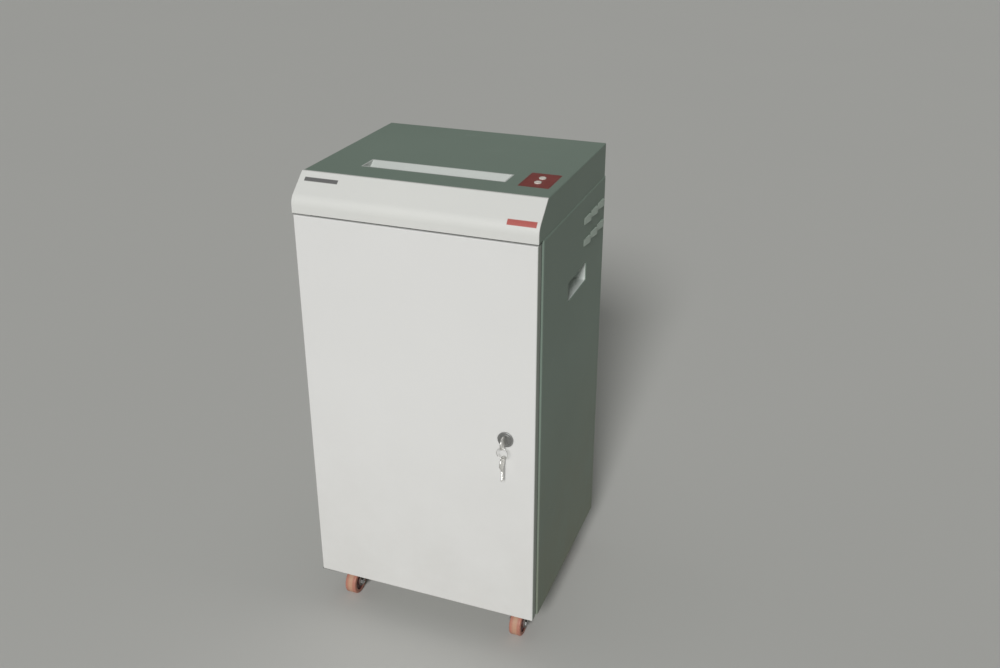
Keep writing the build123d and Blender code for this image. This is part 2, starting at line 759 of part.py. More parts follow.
# ---- motor --------------------------------------------------------------------------------
bell = 8.0                     # end shields of the motor
rotor_gap = 10.0               # rotor to each end shield
fan_gap = 2.0
motor_edge = 3.0
with BuildPart() as motor_housing:
    with BuildSketch(across(motor_front_x)):
        with Locations((motor_y, motor_z)):
            Circle(motor_radius)
    extrude(amount=motor_length)
    chamfer(motor_housing.edges().group_by(Axis.X)[-1], motor_edge)
    with BuildSketch(across(motor_front_x + bell)):
        with Locations((motor_y, motor_z)):
            Circle(motor_radius - motor_wall)
    extrude(amount=motor_length - 2 * bell, mode=Mode.SUBTRACT)
    with BuildSketch(across(motor_front_x)):
        with Locations((motor_y, motor_z)):
            Circle(motor_shaft_radius + running_fit)
    extrude(amount=motor_length, mode=Mode.SUBTRACT)
save(motor_housing.part, "motor_housing")

with BuildPart() as motor_rotor:
    with BuildSketch(across(drive_x)):
        with Locations(Location((motor_y, motor_z), pinion_turn)):
            Polygon(*gear_outline(pinion_teeth), align=None)
    extrude(amount=gear_width)
    with BuildSketch(across(drive_x)):
        with Locations((motor_y, motor_z)):
            Circle(motor_shaft_radius)
    extrude(amount=motor_end_x + fan_gap + fan_width - drive_x)
    with BuildSketch(across(motor_front_x + bell + rotor_gap)):
        with Locations((motor_y, motor_z)):
            Circle(rotor_radius)
    extrude(amount=motor_length - 2 * (bell + rotor_gap))
    with BuildSketch(across(motor_end_x + fan_gap)):
        with Locations((motor_y, motor_z)):
            Circle(fan_radius * 0.45)
            with PolarLocations(fan_radius * 0.65, fan_blades):
                Rectangle(fan_radius * 0.7, fan_blade)
    extrude(amount=fan_width)
save(motor_rotor.part, "motor_rotor")

bracket_rear = motor_y + motor_radius
bracket_bore = motor_shaft_radius + 4.0
stud_shoulder = stud_radius + 3.0
stud_head = stud_radius + 2.5
foot_length = 80.0             # foot under the motor
foot_depth = 60.0
foot_seat = 6.0                # foot above the motor's lowest line
with BuildPart() as motor_bracket:
    with BuildSketch(across(left_plate_x)):
        with Locations(((slot_y + frame_half_depth + bracket_rear) / 2,
                        (shelf_top + motor_z + motor_radius) / 2)):
            Rectangle(bracket_rear - slot_y - frame_half_depth, motor_z + motor_radius - shelf_top)
        with Locations((motor_y, motor_z)):
            Circle(bracket_bore, mode=Mode.SUBTRACT)
    extrude(amount=frame_plate)
    with BuildSketch(across(gear_end_x)):
        with Locations((idler_y, idler_z)):
            Circle(stud_radius)
    extrude(amount=left_plate_x - gear_end_x)
    with BuildSketch(across(left_plate_x)):
        with Locations((idler_y, idler_z)):
            Circle(stud_shoulder)
    extrude(amount=-(left_plate_x - drive_x - gear_width - loose_fit))
    with BuildSketch(across(gear_end_x)):
        with Locations((idler_y, idler_z)):
            Circle(stud_head)
    extrude(amount=drive_x - loose_fit - gear_end_x)
    with BuildSketch(Plane.XY.offset(shelf_top)):
        with Locations((motor_front_x + foot_length / 2, motor_y)):
            Rectangle(foot_length, foot_depth)
    extrude(amount=motor_z - motor_radius + foot_seat - shelf_top)
    with BuildSketch(across(motor_front_x)):
        with Locations((motor_y, motor_z)):
            Circle(motor_radius)
    extrude(amount=motor_length, mode=Mode.SUBTRACT)
save(motor_bracket.part, "motor_bracket")

# ---- electrics ----------------------------------------------------------------------------
capacitor_x = 80.0
capacitor_y = rear_y - 60.0
capacitor_radius = 20.0
capacitor_height = 72.0
capacitor_edge = 3.0
tab_spread = 12.0
tab_width = 6.0
tab_height = 8.0
with BuildPart() as run_capacitor:
    with BuildSketch(Plane.XY.offset(shelf_top)):
        with Locations((capacitor_x, capacitor_y)):
            Circle(capacitor_radius)
    extrude(amount=capacitor_height)
    fillet(run_capacitor.edges().group_by(Axis.Z)[-1], capacitor_edge)
    with BuildSketch(Plane.XY.offset(shelf_top + capacitor_height)):
        with Locations((capacitor_x, capacitor_y)):
            with GridLocations(tab_spread, 1, 2, 1):
                Rectangle(1, tab_width)
    extrude(amount=tab_height)
save(run_capacitor.part, "run_capacitor")

power_x = 130.0
power_y = rear_y - 127.0
power_length = 110.0
power_depth = 80.0
standoff = 8.0
standoff_radius = 3.0
standoff_inset = 5.0
# place on the board in x and y, then length, depth and height
transformer = (-30, 15, 34, 28, 24)
relay = (20, 20, 22, 30, 18)
large_capacitor = (-25, -22, 16, 16, 30)
terminal_block = (10, -20, 30, 14, 12)
heat_sink = (40, -15, 12, 34, 20)
with BuildPart() as power_board:
    with BuildSketch(Plane.XY.offset(shelf_top)):
        with Locations((power_x, power_y)):
            with GridLocations(power_length - 2 * standoff_inset,
                               power_depth - 2 * standoff_inset, 2, 2):
                Circle(standoff_radius)
    extrude(amount=standoff)
    with BuildSketch(Plane.XY.offset(shelf_top + standoff)):
        with Locations((power_x, power_y)):
            Rectangle(power_length, power_depth)
    extrude(amount=board_sheet)
    for component in (transformer, relay, large_capacitor, terminal_block, heat_sink):
        shift_x, shift_y, size_x, size_y, size_z = component
        with BuildSketch(Plane.XY.offset(shelf_top + standoff + board_sheet)):
            with Locations((power_x + shift_x, power_y + shift_y)):
                Rectangle(size_x, size_y)
        extrude(amount=size_z)
save(power_board.part, "power_board")

inlet_depth = 24.0
inlet_ear = 7.0                # inlet flange past the opening at each side
inlet_lip = 3.0
inlet_wall = 1.0
inlet_floor = 4.0
pin_spread = 7.0
pin_width = 2.0
pin_height = 4.0
pin_length = 17.0
with BuildPart() as power_inlet:
    with BuildSketch(facing(panel_rear)):
        with Locations((inlet_x, inlet_z)):
            Rectangle(inlet_width + 2 * inlet_ear, inlet_height + 2 * inlet_lip)
    extrude(amount=inlet_depth)
    with BuildSketch(facing(panel_rear)):
        with Locations((inlet_x, inlet_z)):
            Rectangle(inlet_width - 2 * inlet_wall, inlet_height - 2 * inlet_wall)
    extrude(amount=inlet_depth - inlet_floor, mode=Mode.SUBTRACT)
    with BuildSketch(facing(panel_rear - inlet_depth + inlet_floor)):
        with Locations((inlet_x - pin_spread, inlet_z - pin_height / 2),
                       (inlet_x, inlet_z + 3 * pin_height / 4),
                       (inlet_x + pin_spread, inlet_z - pin_height / 2)):
            Rectangle(pin_width, pin_height)
    extrude(amount=-pin_length)
save(power_inlet.part, "power_inlet")

reed_x = 120.0
reed_z = head_z - 60.0
reed_length = 28.0
reed_height = 12.0
reed_depth = 8.0
magnet_inset = 2.0             # magnet shorter than the switch
magnet_depth = 6.0
with BuildPart() as door_switch:
    with BuildSketch(facing(cabinet_front + sheet)):
        with Locations((reed_x, reed_z)):
            Rectangle(reed_length, reed_height)
    extrude(amount=-reed_depth)
save(door_switch.part, "door_switch")

# ---- door ---------------------------------------------------------------------------------
with BuildPart() as door_panel:
    with BuildSketch(Plane.XY.offset(door_bottom)):
        with Locations((0, (front_y + door_back) / 2)):
            RectangleRounded(2 * door_half, door_thickness, door_corner)
    extrude(amount=door_top - door_bottom)
    fillet(door_panel.edges().filter_by(Axis.X).group_by(Axis.Y)[0], sheet)
    with BuildSketch(facing(door_back)):
        with Locations((0, (door_bottom + door_top) / 2)):
            Rectangle(2 * (door_half - sheet), door_top - door_bottom - 2 * sheet)
    extrude(amount=door_thickness - sheet, mode=Mode.SUBTRACT)
    with BuildSketch(facing(front_y)):
        with Locations((lock_x, lock_z)):
            Circle(lock_body_radius)
    extrude(amount=-2 * sheet, mode=Mode.SUBTRACT)
    with BuildSketch(Plane.XY.offset(door_bottom)):
        with Locations((hinge_x, hinge_y)):
            Circle(hinge_pin_radius + loose_fit)
    extrude(amount=door_top - door_bottom, mode=Mode.SUBTRACT)
save(door_panel.part, "door_panel")

with BuildPart() as door_liner:
    with BuildSketch(facing(door_back)):
        with Locations((0, (door_bottom + door_top) / 2)):
            Rectangle(2 * (door_half - sheet), door_top - door_bottom - 2 * sheet)
        with Locations((lock_x, lock_z)):
            Circle(lock_body_radius, mode=Mode.SUBTRACT)
    extrude(amount=liner_sheet)
save(door_liner.part, "door_liner")

with BuildPart() as door_magnet:
    with BuildSketch(facing(door_back - liner_sheet)):
        with Locations((reed_x, reed_z)):
            Rectangle(reed_length - 2 * magnet_inset, reed_height - magnet_inset)
    extrude(amount=magnet_depth)
save(door_magnet.part, "door_magnet")

bush_length = 12.0
with BuildPart() as hinge_bushes:
    for start in (door_bottom + sheet, door_top - sheet - bush_length):
        with BuildSketch(Plane.XY.offset(start)):
            with Locations((hinge_x, hinge_y)):
                Circle(bush_radius)
                Circle(hinge_pin_radius + running_fit, mode=Mode.SUBTRACT)
        extrude(amount=bush_length)
save(hinge_bushes.part, "hinge_bushes")


def hinge_bracket(leaf_z, up):
    """Leaf over or under the door with a pin into it, and a leg on the front of the cabinet."""
    leaf_left = -half_width + leaf_edge
    leaf_right = hinge_x + hinge_reach
    leg_left = hinge_x + hinge_leg_gap
    with BuildPart() as bracket:
        with BuildSketch(Plane.XY.offset(leaf_z)):
            with Locations(((leaf_left + leaf_right) / 2, (front_y + leaf_front + cabinet_front) / 2)):
                Rectangle(leaf_right - leaf_left, cabinet_front - front_y - leaf_front)
        extrude(amount=-up * hinge_leaf)
        with BuildSketch(facing(cabinet_front)):
            with Locations(((leg_left + leaf_right) / 2, leaf_z + up * (hinge_leg / 2 - hinge_leaf))):
                Rectangle(leaf_right - leg_left, hinge_leg)
        extrude(amount=hinge_leaf)
        with BuildSketch(Plane.XY.offset(leaf_z)):
            with Locations((hinge_x, hinge_y)):
                Circle(hinge_pin_radius)
        extrude(amount=up * hinge_pin_length)
    return bracket.part


with BuildPart() as cabinet_hinges:
    add(hinge_bracket(base_z, 1))
    add(hinge_bracket(door_top + hinge_top_gap, -1))
save(cabinet_hinges.part, "cabinet_hinges")

# ---- lock and keys ------------------------------------------------------------------------
with BuildPart() as lock_barrel:
    with BuildSketch(facing(front_y + lock_length)):
        with Locations((lock_x, lock_z)):
            Circle(lock_body_radius)
    extrude(amount=lock_length)
    with BuildSketch(facing(front_y)):
        with Locations((lock_x, lock_z)):
            Circle(lock_face_radius)
    extrude(amount=lock_face)
    fillet(lock_barrel.edges().group_by(Axis.Y)[0], 1)
    with BuildSketch(facing(front_y + lock_length)):
        with Locations((lock_x, lock_z)):
            Circle(plug_radius + running_fit)
    extrude(amount=lock_length + lock_face, mode=Mode.SUBTRACT)
save(lock_barrel.part, "lock_barrel")

plug_face = front_y - lock_face + plug_recess
cam_back = front_y + lock_length + loose_fit + cam_thickness
with BuildPart() as lock_plug:
    with BuildSketch(facing(cam_back)):
        with Locations((lock_x, lock_z)):
            Circle(plug_radius)
    extrude(amount=cam_back - plug_face)
    with BuildSketch(facing(plug_face + blade_length)):
        with Locations((lock_x, lock_z)):
            Rectangle(blade_thickness, blade_height)
    extrude(amount=blade_length + 1, mode=Mode.SUBTRACT)
save(lock_plug.part, "lock_plug")

with BuildPart() as lock_cam:
    with BuildSketch(facing(cam_back)):
        with Locations((lock_x, lock_z + (cam_length - cam_width) / 2)):
            RectangleRounded(cam_width, cam_length, cam_width / 2 - 0.1)
        with Locations((lock_x, lock_z)):
            Circle(plug_radius, mode=Mode.SUBTRACT)
    extrude(amount=cam_thickness)
    with BuildSketch(facing(cam_back)):
        with Locations((lock_x, lock_z)):
            RegularPolygon(plug_radius + cam_gap, 6)
    extrude(amount=-cam_nut)
save(lock_cam.part, "lock_cam")

bow_y = front_y - key_reach + bow_radius
bow_hole_y = bow_y - bow_hole_forward
bow_hole_z = lock_z - bow_hole_drop


def flat_key(blade_end, centre, hole_place):
    """Flat key: round bow with a ring hole, and a blade from its middle to blade_end."""
    with BuildPart() as blank:
        with BuildSketch(across(lock_x)):
            with Locations(centre):
                Circle(bow_radius)
            with Locations(((centre[0] + blade_end[0]) / 2, (centre[1] + blade_end[1]) / 2)):
                span_y = abs(blade_end[0] - centre[0])
                span_z = abs(blade_end[1] - centre[1])
                Rectangle(max(span_y, blade_height), max(span_z, blade_height))
            with Locations(hole_place):
                Circle(bow_hole, mode=Mode.SUBTRACT)
        extrude(amount=blade_thickness / 2, both=True)
    return blank.part


save(flat_key((plug_face + blade_length - 1, lock_z), (bow_y, lock_z), (bow_hole_y, bow_hole_z)),
     "key")

ring_top_z = bow_hole_z - bow_hole + ring_wire + loose_fit
ring_z = ring_top_z - ring_radius
with BuildPart() as key_ring:
    with BuildSketch(Plane(origin=(lock_x + ring_radius, bow_hole_y, ring_z), x_dir=(1, 0, 0),
                           z_dir=(0, 0, 1))):
        Circle(ring_wire)
    revolve(axis=Axis((lock_x, bow_hole_y, ring_z), (0, 1, 0)), revolution_arc=360)
save(key_ring.part, "key_ring")

ring_low_z = ring_z - ring_radius
spare_hole_z = ring_low_z - bow_hole + ring_wire + loose_fit
spare_z = spare_hole_z - bow_radius + bow_hole + spare_hole_wall
save(flat_key((bow_hole_y, spare_z - bow_radius - spare_length), (bow_hole_y, spare_z),
              (bow_hole_y, spare_hole_z)), "spare_key")

# ---- waste bin ----------------------------------------------------------------------------
bin_middle_y = front_y + bin_front + bin_depth / 2
with BuildPart() as waste_bin:
    for inset, floor, mode in ((0, 0, Mode.ADD), (bin_wall, bin_wall, Mode.SUBTRACT)):
        with BuildSketch(Plane.XY.offset(bin_bottom + floor)):
            with Locations((0, bin_middle_y)):
                RectangleRounded(2 * (bin_half_width - bin_taper - bin_rim - inset),
                                 bin_depth - 2 * (bin_taper + bin_rim + inset), bin_foot_corner - inset)
        with BuildSketch(Plane.XY.offset(bin_bottom + bin_height)):
            with Locations((0, bin_middle_y)):
                RectangleRounded(2 * (bin_half_width - bin_rim - inset),
                                 bin_depth - 2 * (bin_rim + inset), bin_corner - inset)
        loft(mode=mode)
    with BuildSketch(Plane.XY.offset(bin_bottom + bin_height)):
        with Locations((0, bin_middle_y)):
            RectangleRounded(2 * bin_half_width, bin_depth, bin_corner + bin_rim)
            RectangleRounded(2 * (bin_half_width - bin_rim - bin_wall),
                             bin_depth - 2 * (bin_rim + bin_wall), bin_corner - bin_wall,
                             mode=Mode.SUBTRACT)
    extrude(amount=-bin_wall)
    with BuildSketch(facing(bin_middle_y)):
        with Locations((0, bin_bottom + bin_height - grip_drop)):
            RectangleRounded(grip_length, grip_height, grip_corner)
    extrude(amount=bin_depth, mode=Mode.SUBTRACT)
save(waste_bin.part, "waste_bin")

# ---- castors ------------------------------------------------------------------------------
castor_x = half_width - castor_side
castor_front_y = cabinet_front + castor_setback + plate_side / 2
castor_rear_y = rear_y - castor_setback - plate_side / 2
castor_places = {
    "front_left": (-castor_x, castor_front_y),
    "front_right": (castor_x, castor_front_y),
    "rear_left": (-castor_x, castor_rear_y),
    "rear_right": (castor_x, castor_rear_y),
}
race_bottom = base_z - castor_plate - race_height
fork_top = race_bottom - loose_fit
fork_bottom = fork_top - castor_plate
with BuildPart() as castor_plates:
    for place in castor_places.values():
        with BuildSketch(Plane.XY.offset(base_z)):
            with Locations(place):
                RectangleRounded(plate_side, plate_side, castor_corner)
        extrude(amount=-castor_plate)
        with BuildSketch(Plane.XY.offset(base_z - castor_plate)):
            with Locations(place):
                Circle(race_radius)
        extrude(amount=-race_height)
        with BuildSketch(Plane.XY.offset(race_bottom)):
            with Locations(place):
                Circle(kingpin_radius)
        extrude(amount=-castor_plate - 2 * loose_fit - kingpin_head)
        with BuildSketch(Plane.XY.offset(fork_bottom - loose_fit)):
            with Locations(place):
                Circle(kingpin_radius + kingpin_head)
        extrude(amount=-kingpin_head)
save(castor_plates.part, "castor_plates")

screw_spread = plate_side - 3 * castor_screw_radius
with BuildPart() as castor_screws:
    for place in castor_places.values():
        with BuildSketch(Plane.XY.offset(base_z - castor_plate)):
            with Locations(place):
                with GridLocations(screw_spread, screw_spread, 2, 2):
                    RegularPolygon(castor_screw_radius, 6)
        extrude(amount=-castor_screw_head)
save(castor_screws.part, "castor_screws")

leg_inside = wheel_width / 2 + fork_gap
for corner, (swivel_x, swivel_y) in castor_places.items():
    axle_y = swivel_y - castor_trail
    with BuildPart() as castor_fork:
        with BuildSketch(Plane.XY.offset(fork_top)):
            with Locations((swivel_x, swivel_y)):
                Circle(race_radius)
                Rectangle(2 * (leg_inside + fork_sheet), 2 * fork_half)
                Circle(kingpin_radius + running_fit, mode=Mode.SUBTRACT)
        extrude(amount=-castor_plate)
        for leg_x in (swivel_x - leg_inside - fork_sheet, swivel_x + leg_inside):
            with BuildSketch(across(leg_x)):
                Polygon((swivel_y + fork_half, fork_top), (swivel_y - fork_half, fork_top),
                        (axle_y - fork_eye + 1, wheel_radius + fork_knee), (axle_y, wheel_radius),
                        (axle_y + fork_eye - 1, wheel_radius), align=None)
                with Locations((axle_y, wheel_radius)):
                    Circle(fork_eye)
            extrude(amount=fork_sheet)
        with BuildSketch(across(swivel_x - leg_inside - fork_sheet - axle_end)):
            with Locations((axle_y, wheel_radius)):
                Circle(axle_radius)
        extrude(amount=2 * (leg_inside + fork_sheet + axle_end))
    save(castor_fork.part, f"{corner}_castor_fork")
    with BuildPart() as castor_wheel:
        with BuildSketch(across(swivel_x - wheel_width / 2)):
            with Locations((axle_y, wheel_radius)):
                Circle(wheel_radius)
        extrude(amount=wheel_width)
        fillet(castor_wheel.edges(), wheel_shoulder)
        with BuildSketch(across(swivel_x - wheel_width / 2)):
            with Locations((axle_y, wheel_radius)):
                Circle(axle_radius + running_fit)
        extrude(amount=wheel_width, mode=Mode.SUBTRACT)
    save(castor_wheel.part, f"{corner}_castor_wheel")
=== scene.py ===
import bpy
import json
from math import atan2, cos, pi, radians, sin
from mathutils import Matrix, Vector

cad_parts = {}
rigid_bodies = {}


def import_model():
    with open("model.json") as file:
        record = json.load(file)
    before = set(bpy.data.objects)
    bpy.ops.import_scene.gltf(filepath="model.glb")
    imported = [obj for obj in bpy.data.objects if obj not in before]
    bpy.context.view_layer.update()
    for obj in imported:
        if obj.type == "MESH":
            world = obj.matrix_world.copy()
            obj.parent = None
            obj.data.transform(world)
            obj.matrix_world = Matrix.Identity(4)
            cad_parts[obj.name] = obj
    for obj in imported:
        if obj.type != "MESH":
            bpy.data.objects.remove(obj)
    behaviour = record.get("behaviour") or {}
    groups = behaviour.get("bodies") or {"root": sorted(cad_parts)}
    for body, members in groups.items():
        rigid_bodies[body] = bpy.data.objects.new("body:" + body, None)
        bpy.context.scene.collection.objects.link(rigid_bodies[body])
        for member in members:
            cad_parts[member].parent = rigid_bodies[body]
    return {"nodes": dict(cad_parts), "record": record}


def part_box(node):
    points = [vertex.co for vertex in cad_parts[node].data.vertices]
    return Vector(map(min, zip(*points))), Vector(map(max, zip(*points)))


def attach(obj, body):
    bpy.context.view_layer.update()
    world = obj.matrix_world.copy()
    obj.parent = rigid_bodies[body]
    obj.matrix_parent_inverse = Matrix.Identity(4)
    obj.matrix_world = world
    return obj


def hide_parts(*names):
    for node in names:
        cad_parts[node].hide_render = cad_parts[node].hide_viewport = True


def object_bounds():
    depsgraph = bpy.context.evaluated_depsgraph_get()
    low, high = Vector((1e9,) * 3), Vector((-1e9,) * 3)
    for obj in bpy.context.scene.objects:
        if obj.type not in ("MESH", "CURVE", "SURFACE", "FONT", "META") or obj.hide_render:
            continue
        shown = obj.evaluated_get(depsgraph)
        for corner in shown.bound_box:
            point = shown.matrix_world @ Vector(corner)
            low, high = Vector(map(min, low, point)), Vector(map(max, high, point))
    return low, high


# Cabinet paper shredder: finishes and detailed pieces around the CAD frame. Metres, front faces -Y.

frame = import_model()
cadLow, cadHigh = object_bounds()
nodes = frame["nodes"]
print("frame loaded:", len(nodes), "nodes")


# ---- shader maths ----

class Signal:
    # one socket of a material; arithmetic on it adds Math nodes
    def __init__(self, paint, socket):
        self.paint = paint
        self.socket = socket

    def math(self, operation, first, second=None, clamp=False):
        values = {0: first}
        if second is not None:
            values[1] = second
        return self.paint.add("ShaderNodeMath", {"operation": operation, "use_clamp": clamp}, values)

    def __add__(self, other):
        return self.math("ADD", self, other)

    def __radd__(self, other):
        return self.math("ADD", other, self)

    def __sub__(self, other):
        return self.math("SUBTRACT", self, other)

    def __rsub__(self, other):
        return self.math("SUBTRACT", other, self)

    def __mul__(self, other):
        return self.math("MULTIPLY", self, other)

    def __rmul__(self, other):
        return self.math("MULTIPLY", other, self)

    def __truediv__(self, other):
        return self.math("DIVIDE", self, other)

    def clamped(self):
        return self.math("ADD", self, 0.0, clamp=True)

    def absolute(self):
        return self.math("ABSOLUTE", self)

    def above(self, edge, softness):
        # 0 below edge, 1 above it, with a soft step between
        return ((self - (edge - softness)) * (0.5 / softness)).clamped()

    def below(self, edge, softness):
        return 1 - self.above(edge, softness)


class Paint:
    def __init__(self, name):
        self.material = bpy.data.materials.new(name)
        self.material.use_nodes = True
        self.tree = self.material.node_tree
        self.tree.nodes.clear()
        self.shader = self.tree.nodes.new("ShaderNodeBsdfPrincipled")
        output = self.tree.nodes.new("ShaderNodeOutputMaterial")
        self.tree.links.new(self.shader.outputs["BSDF"], output.inputs["Surface"])
        self.place = self.add("ShaderNodeTexCoord", output="Object")

    def add(self, kind, settings=None, values=None, output=0):
        node = self.tree.nodes.new(kind)
        for key, value in (settings or {}).items():
            setattr(node, key, value)
        for key, value in (values or {}).items():
            self.feed(node.inputs[key], value)
        return Signal(self, node.outputs[output])

    def feed(self, socket, value):
        if isinstance(value, Signal):
            self.tree.links.new(value.socket, socket)
        elif socket.type == "RGBA":
            socket.default_value = (*value, 1)
        else:
            socket.default_value = value

    def stretched(self, scale):
        return self.add("ShaderNodeMapping", {"vector_type": "POINT"},
                        {"Vector": self.place, "Scale": scale})

    def noise(self, scale, detail=2.0, rough=0.5, where=None):
        return self.add("ShaderNodeTexNoise", {"noise_dimensions": "3D"},
                        {"Vector": where or self.place, "Scale": scale, "Detail": detail,
                         "Roughness": rough})

    def cells(self, scale):
        return self.add("ShaderNodeTexVoronoi", {"feature": "F1"},
                        {"Vector": self.place, "Scale": scale})

    def cellTone(self, scale):
        # a random value for each cell
        colour = self.add("ShaderNodeTexVoronoi", {"feature": "F1"},
                          {"Vector": self.place, "Scale": scale}, "Color")
        return self.add("ShaderNodeSeparateColor", None, {"Color": colour}, 0)

    def axes(self):
        return [self.add("ShaderNodeSeparateXYZ", None, {"Vector": self.place}, output)
                for output in range(3)]

    def mix(self, factor, first, second):
        return self.add("ShaderNodeMix", {"data_type": "RGBA"}, {0: factor, 6: first, 7: second}, 2)

    def bump(self, height, distance, strength=1.0, under=None):
        values = {"Height": height, "Distance": distance, "Strength": strength}
        if under is not None:
            values["Normal"] = under
        return self.add("ShaderNodeBump", None, values)

    def finish(self, **sockets):
        for name, value in sockets.items():
            self.feed(self.shader.inputs[name.replace("_", " ")], value)
        return self.material


# ---- finishes ----

coatLook = {
    "grainScale": 900.0,      # fine texture of the coat, per metre
    "grainDepth": 0.00006,
    "peelScale": 190.0,       # soft orange peel under the grain
    "peelDepth": 0.00012,
    "cloudScale": 3.2,
    "scuffScale": 14.0,
    "dustAndReflectionHeight": 0.26,       # dust, and on the body paint a painted brown floor reflection, fades out this far above the floor
}


def powderCoat(name, colour, shade, rough=0.5, dustAndReflection=(0.42, 0.40, 0.35), dustAndReflectionAmount=0.10, marks=(),
               edge=None):
    paint = Paint(name)
    cloud = paint.noise(coatLook["cloudScale"], 3.0)
    grain = paint.noise(coatLook["grainScale"], 2.0, 0.6)
    peel = paint.noise(coatLook["peelScale"], 1.0)
    scuff = paint.noise(coatLook["scuffScale"], 6.0, 0.72).above(0.66, 0.05)
    height = paint.axes()[2]
    # towards the floor the colour turns to the given tint: settled dust, and on the body paint a painted
    # reflection of a brown floor
    lowDustAndReflection = height.below(coatLook["dustAndReflectionHeight"], coatLook["dustAndReflectionHeight"]) * paint.noise(9.0, 5.0, 0.65)
    tone = paint.mix(cloud.above(0.5, 0.22), colour, shade)
    tone = paint.mix(grain.above(0.60, 0.14) * 0.10, tone, shade)
    tone = paint.mix((lowDustAndReflection * dustAndReflectionAmount * 4).clamped(), tone, dustAndReflection)
    # painted shade: faces beyond the given x are darkened to the given colour; on the door this is its
    # right-hand edge
    if edge is not None:
        tone = paint.mix(paint.axes()[0].above(edge[0], 0.0003), tone, edge[1])
    for low, high, ink in marks:
        x, y, z = paint.axes()
        inside = x.above(low[0], 0.0004) * x.below(high[0], 0.0004)
        inside = inside * z.above(low[1], 0.0004) * z.below(high[1], 0.0004)
        tone = paint.mix(inside * (0.85 + grain * 0.15), tone, ink)
    roughness = (grain - 0.5) * 0.14 + (rough - scuff * 0.06) + lowDustAndReflection * 0.25
    normal = paint.bump(peel, coatLook["peelDepth"], 0.5)
    normal = paint.bump(grain, coatLook["grainDepth"], 0.55, normal)
    return paint.finish(Base_Color=tone, Roughness=roughness.clamped(), Normal=normal,
                        Specular_IOR_Level=0.42)


def mouldedPlastic(name, colour, shade, rough=0.42, texture=1400.0, depth=0.00003, paintedShadeAbove=None):
    paint = Paint(name)
    cloud = paint.noise(7.0, 3.0)
    leather = paint.cells(texture)
    fine = paint.noise(texture * 1.7, 2.0)
    tone = paint.mix(cloud.above(0.5, 0.25), colour, shade)
    # painted shade: above the given height the colour turns to a darker, greener copy
    if paintedShadeAbove is not None:
        tone = paint.mix(paint.axes()[2].above(paintedShadeAbove[0], 0.002), tone, paintedShadeAbove[1])
    roughness = rough + (fine - 0.5) * 0.16 + (cloud - 0.5) * 0.10
    normal = paint.bump(leather, depth, 0.5)
    normal = paint.bump(fine, depth * 0.6, 0.4, normal)
    return paint.finish(Base_Color=tone, Roughness=roughness.clamped(), Normal=normal)


def platedSteel(name, colour, shade, rough=0.30, spangle=160.0):
    paint = Paint(name)
    patch = paint.cellTone(spangle)
    smear = paint.noise(30.0, 5.0, 0.6)
    tone = paint.mix((patch * 0.6 + smear * 0.4).clamped(), colour, shade)
    roughness = rough + (patch - 0.5) * 0.12 + (smear - 0.5) * 0.18
    normal = paint.bump(paint.noise(700.0, 2.0), 0.00003, 0.35)
    return paint.finish(Base_Color=tone, Roughness=roughness.clamped(), Metallic=1.0, Normal=normal)


def groundSteel(name, colour, shade, rough=0.26, along=(4.0, 900.0, 900.0)):
    paint = Paint(name)
    lines = paint.noise(1.0, 4.0, 0.7, paint.stretched(along))
    oil = paint.noise(24.0, 4.0, 0.6)
    tone = paint.mix((lines * 0.7 + oil * 0.3).clamped(), colour, shade)
    roughness = rough + (lines - 0.5) * 0.30 + (oil - 0.5) * 0.14
    normal = paint.bump(lines, 0.00004, 0.5)
    return paint.finish(Base_Color=tone, Roughness=roughness.clamped(), Metallic=1.0, Normal=normal)


def polishedMetal(name, colour, shade, rough=0.12, haze=0.10):
    paint = Paint(name)
    smear = paint.noise(60.0, 4.0, 0.6)
    scratch = paint.noise(1.0, 3.0, 0.8, paint.stretched((2400.0, 260.0, 120.0)))
    tone = paint.mix(smear.above(0.5, 0.25), colour, shade)
    roughness = rough + smear * haze + (scratch - 0.5) * 0.08
    normal = paint.bump(scratch, 0.000015, 0.4)
    return paint.finish(Base_Color=tone, Roughness=roughness.clamped(), Metallic=1.0, Normal=normal)


def castUrethane(name, colour, shade, scuffed):
    paint = Paint(name)
    cloud = paint.noise(45.0, 4.0, 0.6)
    pits = paint.cells(900.0)
    grit = paint.noise(420.0, 4.0, 0.75).above(0.60, 0.06)
    tone = paint.mix(cloud.above(0.5, 0.2), colour, shade)
    tone = paint.mix(grit * 0.45, tone, scuffed)
    roughness = 0.52 + (cloud - 0.5) * 0.2 + grit * 0.2
    normal = paint.bump(pits, 0.00004, 0.4)
    normal = paint.bump(grit, 0.00004, 0.4, normal)
    return paint.finish(Base_Color=tone, Roughness=roughness.clamped(), Normal=normal)


def circuitBoard(name, mask, track, copper, boardTop):
    paint = Paint(name)
    routes = paint.add("ShaderNodeTexBrick", {"offset": 0.5, "squash": 1.0},
                       {"Vector": paint.place, "Scale": 140.0, "Mortar Size": 0.03,
                        "Brick Width": 0.8, "Row Height": 0.25}, "Fac")
    pads = paint.cells(240.0).below(0.16, 0.03)
    tone = paint.mix(routes, mask, track)
    tone = paint.mix(pads, tone, copper)
    housing = paint.cellTone(34.0)
    fitted = paint.axes()[2].above(boardTop, 0.0002)
    tone = paint.mix(fitted, tone, paint.mix(housing, (0.02, 0.02, 0.022), (0.05, 0.16, 0.36)))
    pads = pads * (1 - fitted)
    roughness = 0.34 + paint.noise(60.0, 3.0) * 0.16
    normal = paint.bump(routes + pads, 0.00005, 0.5)
    return paint.finish(Base_Color=tone, Roughness=roughness.clamped(), Metallic=pads * 0.9,
                        Normal=normal)


filmLook = {"border": 0.0022, "line": 0.0004}


